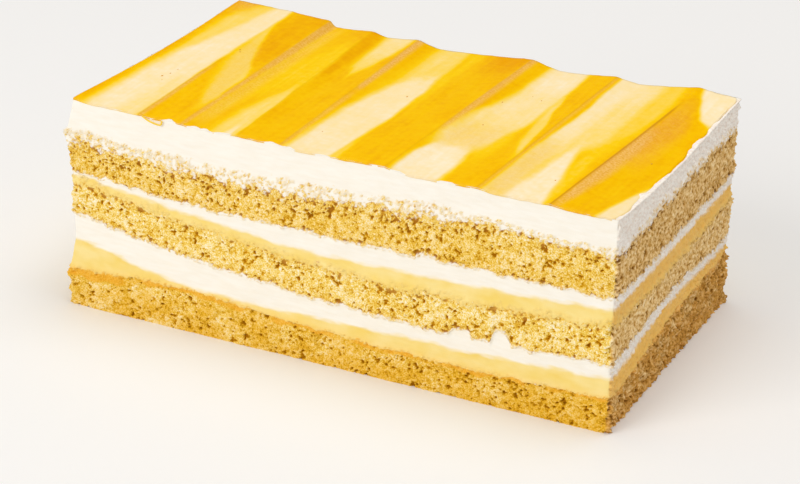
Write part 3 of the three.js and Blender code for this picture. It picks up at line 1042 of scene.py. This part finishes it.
def painted(stroke, x, y):
    """How much of a stroke shows at places of the plan."""
    along, left, right = np.array(stroke.stations, float).T
    left = np.interp(y, along, left)
    right = np.interp(y, along, right)
    soft_left, soft_right = [np.minimum(soft, (right - left) * SOFTEST) for soft in stroke.soft]
    end = STROKE_END + STROKE_END_SOFTNESS * max(stroke.soft)
    return between(left, right, soft_left, soft_right, x) * between(along[0], along[-1], end, end, y)


def paint(x, y, points):
    """Tone, tan and painted shade along the crests' steep sides over the glaze, from its strokes and crests.
    """
    sideways = uneven(points, BRUSH_ACROSS).reshape(x.shape)
    y_brushed = y + uneven(points, BRUSH_ALONG).reshape(x.shape)
    tone = np.full(x.shape, FULL_TONE)
    for stroke in STROKES:
        tone += (stroke.tone - tone) * painted(stroke, x + sideways, y_brushed)
    tan = np.zeros(x.shape)
    for stroke in TAN_STROKES:
        tan = np.maximum(tan, stroke.tone * painted(stroke, x + TAN_BRUSH * sideways, y_brushed))
    # Painted shade on the steep right side of each crest
    line = np.zeros(x.shape)
    depth = y / WIDTH + 0.5
    for crest in CRESTS:
        away = np.abs(x - crest.front - (crest.back - crest.front) * depth - LINE_SHIFT)
        run = 1 - smooth(crest.line_end + LINE_FADE[0], crest.line_end + LINE_FADE[1], y)
        line = np.maximum(line, (1 - smooth(0, LINE_WIDTH, away)) * crest.line * run)
    tone = np.clip(tone + uneven(points, STREAKS).reshape(x.shape), 0, 1)
    return tone, tan, line


def glaze_piece():
    """The glaze: a thin sheet over the combed topping, its columns along the crests."""
    front, back = glaze_columns()
    depth = np.linspace(0, 1, GLAZE_ROWS + 1)[:, None]
    nominal = front + (back - front) * depth
    y = WIDTH * (depth - 0.5)
    clear_y = np.clip(y, SHEET_Y[0] + END_CLEAR, SHEET_Y[-1] - END_CLEAR)
    lean = np.interp(clear_y, SHEET_Y, SHEET_LEFT) + LENGTH / 2
    drag = np.interp(clear_y, SHEET_Y, SHEET_RIGHT) - LENGTH / 2
    rounding = CORNER * (np.exp(-(y + WIDTH / 2) / CORNER) + np.exp(-(WIDTH / 2 - y) / CORNER))
    stop_right = glaze_stop(RIGHT, y[:, 0])[:, None] + rounding
    x = nominal + lean * np.maximum(0, 1 - (nominal + LENGTH / 2) / LEAN_RUN)
    x += (drag - stop_right) * smooth(LENGTH / 2 - DRAG_RUN, LENGTH / 2, nominal)
    y = y + glaze_stop(FRONT, front) * (1 - depth) ** EDGE_FADE - glaze_stop(BACK, back) * depth**EDGE_FADE

    z = glaze_height(x, y)
    beside = len(SOFTENING) // 2
    padded = np.pad(z, ((0, 0), (beside, beside)), "edge")
    z = sum(weight * padded[:, n : n + z.shape[1]] for n, weight in enumerate(SOFTENING))

    points = np.dstack([x, y, z]).reshape(-1, 3)
    plan = np.column_stack([points[:, :2], np.zeros(len(points))])
    tone, tan, line = paint(x, y, plan)
    border = WIDTH / 2 + y - EDGE_STOPS[FRONT]
    tan = np.maximum(tan, EDGE_TAN * (1 - smooth(*EDGE_TAN_FADE, border)))
    points[:, 2] += uneven(plan, GLAZE_WAVES)

    columns = x.shape[1]
    corner = (np.arange(GLAZE_ROWS)[:, None] * columns + np.arange(columns - 1)).ravel()
    faces = np.column_stack([corner, corner + 1, corner + 1 + columns, corner + columns]).tolist()
    fields = {"tone": tone.ravel(), "tan": tan.ravel(), "line": line.ravel()}
    piece = new_piece("glaze_skin", points, faces, len(faces), fields)
    skin = piece.modifiers.new("skin", "SOLIDIFY")
    skin.thickness = GLAZE_THICK * MM
    skin.offset = -1
    return settled(piece)


def speck_piece():
    """Specks set in the glaze."""
    shape = bmesh.new()
    places = np.array(SPECKS, float)
    heights = glaze_height(places[:, 0], places[:, 1])
    for number, (x, y) in enumerate(places):
        size = SPECK_SIZES[number % len(SPECK_SIZES)] * MM
        at = Matrix.Translation(Vector((x, y, heights[number])) * MM)
        form = Matrix.Diagonal((size, SPECK_LENGTH * size, SPECK_HEIGHT * size, 1))
        bmesh.ops.create_uvsphere(shape, u_segments=8, v_segments=6, radius=1, matrix=at @ form)
    mesh = bpy.data.meshes.new("glaze_specks")
    shape.to_mesh(mesh)
    shape.free()
    mesh.shade_smooth()
    return placed("glaze_specks", mesh)


def dribble_piece():
    """A thread of glaze that ran over the front edge."""
    curve = bpy.data.curves.new("glaze_dribble", "CURVE")
    curve.dimensions = "3D"
    curve.bevel_depth = DRIBBLE_THICK * MM
    curve.bevel_resolution = 3
    curve.use_fill_caps = True
    path = curve.splines.new("NURBS")
    path.points.add(len(DRIBBLE) - 1)
    path.use_endpoint_u = True
    path.order_u = 3
    for point, (x, z) in zip(path.points, DRIBBLE):
        point.co = (x * MM, -WIDTH / 2 * MM, z * MM, 1)
    return settled(placed("glaze_dribble", curve))


# Materials


# How far the pores' painted shade, the grain and the blotches darken the crumb, with the sizes of the last
# two, and how much of a darker, duller copy of its colours shows at the end as painted shade, darker still
# and warmer where it baked
PORE_SHADE = 0.54
GRAIN_DARK = 0.66
GRAIN = 0.45
END_GRAIN = 1.0
BLOTCHES_DARK = [(1.6, 0.28), (6.0, 0.24)]
END_BAKED_SHADE = 0.16
END_SHADED_SKIN = (0.62, 1.0, 0.0, 0.75)
END_SHADE = 0.85

# Sizes of the marks in the fillings, the blotches of painted light and shade that stand for curds at the
# rough end, and the finest grain of all cut faces
CREAM_MARK = 6.0
CUSTARD_MARK = 9.0
CURD = 0.8
FINE_GRAIN = 0.35
# how much deeper the custard gets, as painted warm light at the end and as the skin's stain
RICHNESS = 0.75

# Sizes of the glaze's grit and mottling, how strong that is, and of the tints in a loose crumb
GRIT = 0.7
MOTTLE = 2.2
MOTTLING = 0.22
CRUMB_TINT = 1.2


def new_material(name, roughness, specular=0.1):
    """A material as rough and as glossy all over as given, its node tree and its shader."""
    material = bpy.data.materials.new(name)
    material.use_nodes = True
    shader = material.node_tree.nodes["Principled BSDF"]
    shader.inputs["Roughness"].default_value = roughness
    shader.inputs["Specular IOR Level"].default_value = specular
    return material, material.node_tree, shader


def blotches(tree, size, detail=2.0, squeeze=(1.0, 1.0, 1.0)):
    """Soft blotches from 0 to 1, of a size in millimetres, squeezed along the axes and fixed to the piece."""
    place = add(tree, "ShaderNodeTexCoord").outputs["Object"]
    squeezed = add(tree, VECTORS, TIMES, [place, squeeze])
    return add(tree, NOISE, {}, {"Vector": squeezed, "Scale": 1 / (size * MM), "Detail": detail})


def sponge_colour(tree):
    """Golden crumb: pale where it stands out, brown where baked, painted shade in the pores and at the end.
    """
    pit, baked, end = [add(tree, ATTRIBUTE, {"attribute_name": name}) for name in ("pit", "baked", "end")]
    links = {SHARE: end, FROM_NUMBER: blotches(tree, GRAIN, 3.0), TO_NUMBER: blotches(tree, END_GRAIN, 4.0)}
    grain = add(tree, MIX, {}, links)
    # Painted shade in the pores
    pore_shade = add(tree, MATH, TIMES, [pit, PORE_SHADE])
    deep = add(tree, MATH, TIMES_PLUS, [grain, GRAIN_DARK, pore_shade])
    for size, share in BLOTCHES_DARK:
        deep = add(tree, MATH, TIMES_PLUS, [blotches(tree, size, 3.0), share, deep])

    crumb_stops = [(0.50, "#FFFCF0"), (0.61, "#FFF2C6"), (0.74, "#F6D664")]
    crumb_stops += [(0.88, "#DCA214"), (1.0, "#B47400")]
    crumb = add(tree, RAMP, {}, [deep], crumb_stops)
    toasted = add(tree, RAMP, {}, [deep], [(0.50, "#FAD04C"), (0.74, "#E8AE10"), (1.0, "#9C6800")])
    inside = add(tree, MIX, COLOURS, {SHARE: baked, FROM: crumb, TO: toasted})
    skin_share = add(tree, RANGE, EASED, [baked, MOST_TOAST, 1.0])
    skin = add(tree, RAMP, {}, [deep], [(0.40, "#FCCB5C"), (0.66, "#EDAE30"), (1.0, "#C07C08")])
    cut = add(tree, MIX, COLOURS, {SHARE: skin_share, FROM: inside, TO: skin})

    # Painted shade at the end: a darker, duller copy of the crumb, darker still where it baked, and of the
    # skin
    end_shade_depth = add(tree, MATH, TIMES_PLUS, [baked, END_BAKED_SHADE, deep])
    shaded_crumb_stops = [(0.48, "#FFECC0"), (0.66, "#FAD69A"), (0.84, "#C69450"), (1.0, "#744614")]
    shaded_crumb = add(tree, RAMP, {}, [end_shade_depth], shaded_crumb_stops)
    shaded_skin = add(tree, RAMP, {}, [deep], [(0.48, "#FFD080"), (0.70, "#EDAA4E"), (1.0, "#8A5210")])
    shaded_skin_share = add(tree, RANGE, {}, [baked, *END_SHADED_SKIN])
    end_shade_colour = add(tree, MIX, COLOURS, {SHARE: shaded_skin_share, FROM: shaded_crumb, TO: shaded_skin})
    end_shade_share = add(tree, MATH, TIMES, [end, END_SHADE])
    return add(tree, MIX, COLOURS, {SHARE: end_shade_share, FROM: cut, TO: end_shade_colour})


def filling_colour(tree):
    """Ivory whipped cream, cloudy pale custard stained by the skin, and painted light and shade at the end.
    """
    names = ("custard", "end_light_and_stain", "end")
    custard, end_light_and_stain, end = [add(tree, ATTRIBUTE, {"attribute_name": name}) for name in names]
    cream_marks = blotches(tree, CREAM_MARK, squeeze=(1, 1, 5))
    cream = add(tree, RAMP, {}, [cream_marks], [(0.3, "#F9F4E9"), (0.7, "#FCF9F1")])
    # At the rough end, blotches of lavender-grey painted shade and whiter painted light on the curds
    curd_light_and_shade = add(tree, RAMP, {}, [blotches(tree, CURD, 3.0)], [(0.36, "#F3E6DA"), (0.58, "#FFFAF2")])
    whipped = add(tree, MIX, COLOURS, {SHARE: end, FROM: cream, TO: curd_light_and_shade})
    custard_marks = blotches(tree, CUSTARD_MARK, squeeze=(1, 1, 2))
    pale = add(tree, RAMP, {}, [custard_marks], [(0.3, "#F6D874"), (0.7, "#FAE49A")])
    # Deeper custard: painted warm light at the end, and the skin's stain beside it
    end_light_and_stain_share = add(tree, MATH, TIMES, [end_light_and_stain, RICHNESS])
    set_custard = add(tree, MIX, COLOURS, {SHARE: end_light_and_stain_share, FROM: pale, TO: linear("#F8C060")})
    return add(tree, MIX, COLOURS, {SHARE: custard, FROM: whipped, TO: set_custard})


def cut_face_material(name, roughness):
    """A cut face: crumb where it stands bare, tinted where filling coats it, and filling, warm where thin."""
    material, tree, shader = new_material(name, roughness)
    names = ("bare", "coat", "film", "custard")
    bare, coat, film, custard = [add(tree, ATTRIBUTE, {"attribute_name": label}) for label in names]
    coat_links = {SHARE: custard, FROM: linear("#F0D8A4"), TO: linear("#F7D680")}
    coat_colour = add(tree, MIX, COLOURS, coat_links)
    coated = add(tree, MIX, COLOURS, {SHARE: coat, FROM: sponge_colour(tree), TO: coat_colour})
    thin = add(tree, MIX, COLOURS, {SHARE: film, FROM: filling_colour(tree), TO: coat_colour})
    colour = add(tree, MIX, COLOURS, {SHARE: bare, FROM: thin, TO: coated})
    tree.links.new(shown(colour), shader.inputs["Base Color"])
    links = {"Strength": 0.4, "Distance": 0.15 * MM, "Height": blotches(tree, FINE_GRAIN, 3.0)}
    bump = add(tree, "ShaderNodeBump", {}, links)
    tree.links.new(shown(bump), shader.inputs["Normal"])
    return material


def glaze_material():
    """Fruit glaze, spread and combed: thick and yellow on the rises, thin over cream in the hollows."""
    material, tree, shader = new_material("fruit_glaze", 0.3, 0.006)
    shader.inputs["IOR"].default_value = 1.42
    tone, tan, line = [add(tree, ATTRIBUTE, {"attribute_name": name}) for name in ("tone", "tan", "line")]
    grit = blotches(tree, GRIT)
    mottle = add(tree, MATH, TIMES_PLUS, [blotches(tree, MOTTLE, 3.0), MOTTLING, -MOTTLING / 2])
    mottled = add(tree, MATH, PLUS, [tone, mottle])
    coat_stops = [(0.0, "#FCF1D8"), (0.14, "#FCE7B6"), (0.42, "#FBDA68")]
    coat_stops += [(0.68, "#FBCF0C"), (0.84, "#F8C000"), (1.0, "#EFA600")]
    coat = add(tree, RAMP, {}, [mottled], coat_stops)
    dried = add(tree, RAMP, {}, [grit], [(0.3, "#E4A440"), (0.7, "#F7CA80")])
    banded = add(tree, MIX, COLOURS, {SHARE: tan, FROM: coat, TO: dried})
    # A darker line of painted shade along each crest's steep right side
    crest_shaded = add(tree, MIX, COLOURS, {SHARE: line, FROM: banded, TO: linear("#C8821A")})
    tree.links.new(shown(crest_shaded), shader.inputs["Base Color"])
    bump = add(tree, "ShaderNodeBump", {}, {"Strength": 0.25, "Distance": 0.2 * MM, "Height": grit})
    tree.links.new(shown(bump), shader.inputs["Normal"])
    return material


def plain_material(name, colour, roughness):
    """One colour all over: ochre specks, run glaze and the matt floor."""
    material, _, shader = new_material(name, roughness)
    shader.inputs["Base Color"].default_value = linear(colour)
    return material


def crumb_material():
    """Loose crumbs: the sponge's own colours, without its pores."""
    material, tree, shader = new_material("loose_crumb", 0.85)
    stops = [(0.35, "#DDB060"), (0.5, "#EBC888"), (0.65, "#F5DEB0")]
    colour = add(tree, RAMP, {}, [blotches(tree, CRUMB_TINT)], stops)
    tree.links.new(shown(colour), shader.inputs["Base Color"])
    return material


# Stage


def make_camera():
    """The camera, where the photograph was taken from."""
    azimuth = math.radians(CAMERA_AZIMUTH)
    elevation = math.radians(CAMERA_ELEVATION)
    roll = math.radians(CAMERA_ROLL)
    away = math.cos(elevation)
    back = Vector((math.sin(azimuth) * away, -math.cos(azimuth) * away, math.sin(elevation)))
    level = Vector((math.cos(azimuth), math.sin(azimuth), 0))
    upright = back.cross(level)
    right = level * math.cos(roll) + upright * math.sin(roll)
    up = back.cross(right)
    data = bpy.data.cameras.new("camera")
    data.sensor_width = SENSOR
    data.lens = FOCAL_PIXELS / IMAGE_WIDTH * SENSOR
    data.clip_end = FARTHEST
    camera = placed("camera", data)
    camera.matrix_world = Matrix((right, up, back)).transposed().to_4x4()
    camera.location = Vector(CAMERA_PLACE) * MM
    bpy.context.scene.camera = camera


def make_stage():
    """A pale matt floor, two soft lamps that face the cake, and an even room."""
    corners = [(x * FLOOR_HALF, y * FLOOR_HALF, 0) for x, y in ((-1, -1), (1, -1), (1, 1), (-1, 1))]
    mesh = bpy.data.meshes.new("floor")
    mesh.from_pydata(corners, [], [(0, 1, 2, 3)])
    mesh.materials.append(plain_material("matt_board", "#F3F4F6", 0.9))
    placed("floor", mesh)
    for lamp in LAMPS:
        data = bpy.data.lights.new(lamp.name, "AREA")
        data.size = lamp.size
        data.energy = lamp.power
        data.color = linear(lamp.colour)[:3]
        light = placed(lamp.name, data)
        light.location = lamp.place
        light.rotation_euler = Vector(lamp.place).to_track_quat("Z", "Y").to_euler()
    world = bpy.data.worlds.new("studio")
    world.use_nodes = True
    background = world.node_tree.nodes["Background"]
    background.inputs["Color"].default_value = linear(ROOM_COLOUR)
    background.inputs["Strength"].default_value = ROOM_STRENGTH
    bpy.context.scene.world = world
    bpy.context.scene.view_settings.view_transform = "Standard"


# The cake

SLOT_MATERIALS = {
    "sponge": cut_face_material("sponge_crumb", 0.85),
    "custard": cut_face_material("set_custard", 0.5),
    "cream": cut_face_material("whipped_cream", 0.55),
}
relief = crumb_relief_tree()
SEAMS = read_seams()
fillings = []
for number, layer in enumerate(LAYERS):
    piece = made_plain(layer_piece(number, SEAMS), relief, RELIEF_SIZES, SLOT_MATERIALS[layer.kind])
    finish_piece(piece, layer.kind, layer.node)
    if layer.kind != "sponge":
        fillings.append(piece)
crumbs = made_plain(joined_fillings(fillings), loose_crumb_tree(), CRUMB_SIZES, crumb_material())
finish_piece(crumbs, "sponge")

glaze = glaze_piece()
glaze.data.materials.append(glaze_material())
finish_piece(glaze, "glaze", "glaze")
specks = speck_piece()
specks.data.materials.append(plain_material("ochre_specks", "#DC9A1C", 0.4))
finish_piece(specks, "glaze")
dribble = dribble_piece()
dribble.data.materials.append(plain_material("run_glaze", "#F6D04A", 0.3))
finish_piece(dribble, "glaze")

make_camera()
make_stage()
